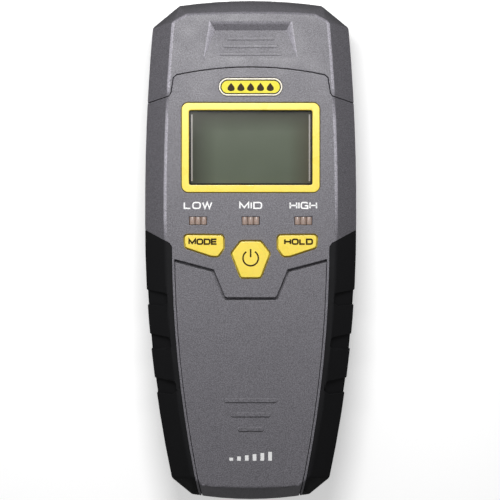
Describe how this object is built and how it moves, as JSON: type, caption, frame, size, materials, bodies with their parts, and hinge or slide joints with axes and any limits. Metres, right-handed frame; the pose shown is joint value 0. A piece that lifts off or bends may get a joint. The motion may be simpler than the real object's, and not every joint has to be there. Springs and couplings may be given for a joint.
{
  "type": "moisture meter",
  "caption": "Pocket pin-type moisture meter with a pull-off pin cap, framed screen, light windows, push keys, side grips and a sliding battery door.",
  "frame": {"origin": "centre of the meter's outline in plan, at the back face it lies on", "axes": "+X to the right seen from the front with the pins up, +Y along the meter towards the pins, +Z out of the front face"},
  "size_m": [0.063, 0.1486, 0.0289],
  "materials": {
    "housing_plastic": "satin",
    "rear_plastic": "satin",
    "grip_rubber": "matte",
    "yellow_plastic": "gloss",
    "badge_plate": "gloss",
    "badge_rim": "gloss",
    "clear_window": "gloss",
    "lcd": "gloss",
    "white_plastic": "satin",
    "elastomer": "matte",
    "light_lens": "gloss",
    "black_plastic": "satin",
    "silicone": "matte",
    "steel": "satin",
    "brass": "satin",
    "circuit_board": "gloss",
    "chips": "satin",
    "battery_case": "gloss",
    "led_body": "gloss",
    "label": "satin",
    "foam": "matte",
    "wire_red": "satin",
    "wire_black": "satin"
  },
  "bodies": {
    "case": {"front_housing": "housing_plastic", "badge_rim": "badge_rim", "badge_plate": "badge_plate", "lower_panel": "housing_plastic", "screen_bezel": "yellow_plastic", "screen_window": "clear_window", "lcd_glass": "lcd", "lcd_holder": "white_plastic", "lcd_connector": "elastomer", "light_window_low": "light_lens", "light_window_mid": "light_lens", "light_window_high": "light_lens", "grip_left": "grip_rubber", "grip_right": "grip_rubber", "rear_housing": "rear_plastic", "back_label": "label", "pin_block": "black_plastic", "pin_left": "steel", "pin_right": "steel", "pin_collars": "steel", "pin_nuts": "brass", "pin_terminals": "brass", "main_board": "circuit_board", "board_parts": "chips", "key_membrane": "silicone", "key_switches": "chips", "leds": "led_body", "light_shroud": "black_plastic", "buzzer": "black_plastic", "battery": "battery_case", "battery_terminals": "steel", "battery_snap": "black_plastic", "lead_red": "wire_red", "lead_black": "wire_black", "battery_pad": "foam", "compartment_wall": "black_plastic", "board_screws": "steel", "housing_screws": "steel"},
    "cap_body": {"cap": "housing_plastic", "cap_contact": "brass"},
    "battery_door": {"battery_door": "rear_plastic"},
    "mode_key": {"mode_key": "yellow_plastic"},
    "power_key": {"power_key": "yellow_plastic"},
    "hold_key": {"hold_key": "yellow_plastic"}
  },
  "joints": [
    {"name": "cap_pull", "type": "slide", "parent": "case", "child": "cap_body", "axis": [0, 1, 0], "range_m": [0, 0.03]},
    {"name": "battery_door_slide", "type": "slide", "parent": "case", "child": "battery_door", "axis": [0, -1, 0], "range_m": [0, 0.056]},
    {"name": "mode_key_press", "type": "slide", "parent": "case", "child": "mode_key", "axis": [0, 0, -1], "range_m": [0, 0.0008], "stiffness_N_per_m": 800, "springref_m": -0.0006},
    {"name": "power_key_press", "type": "slide", "parent": "case", "child": "power_key", "axis": [0, 0, -1], "range_m": [0, 0.0008], "stiffness_N_per_m": 800, "springref_m": -0.0006},
    {"name": "hold_key_press", "type": "slide", "parent": "case", "child": "hold_key", "axis": [0, 0, -1], "range_m": [0, 0.0008], "stiffness_N_per_m": 800, "springref_m": -0.0006}
  ]
}
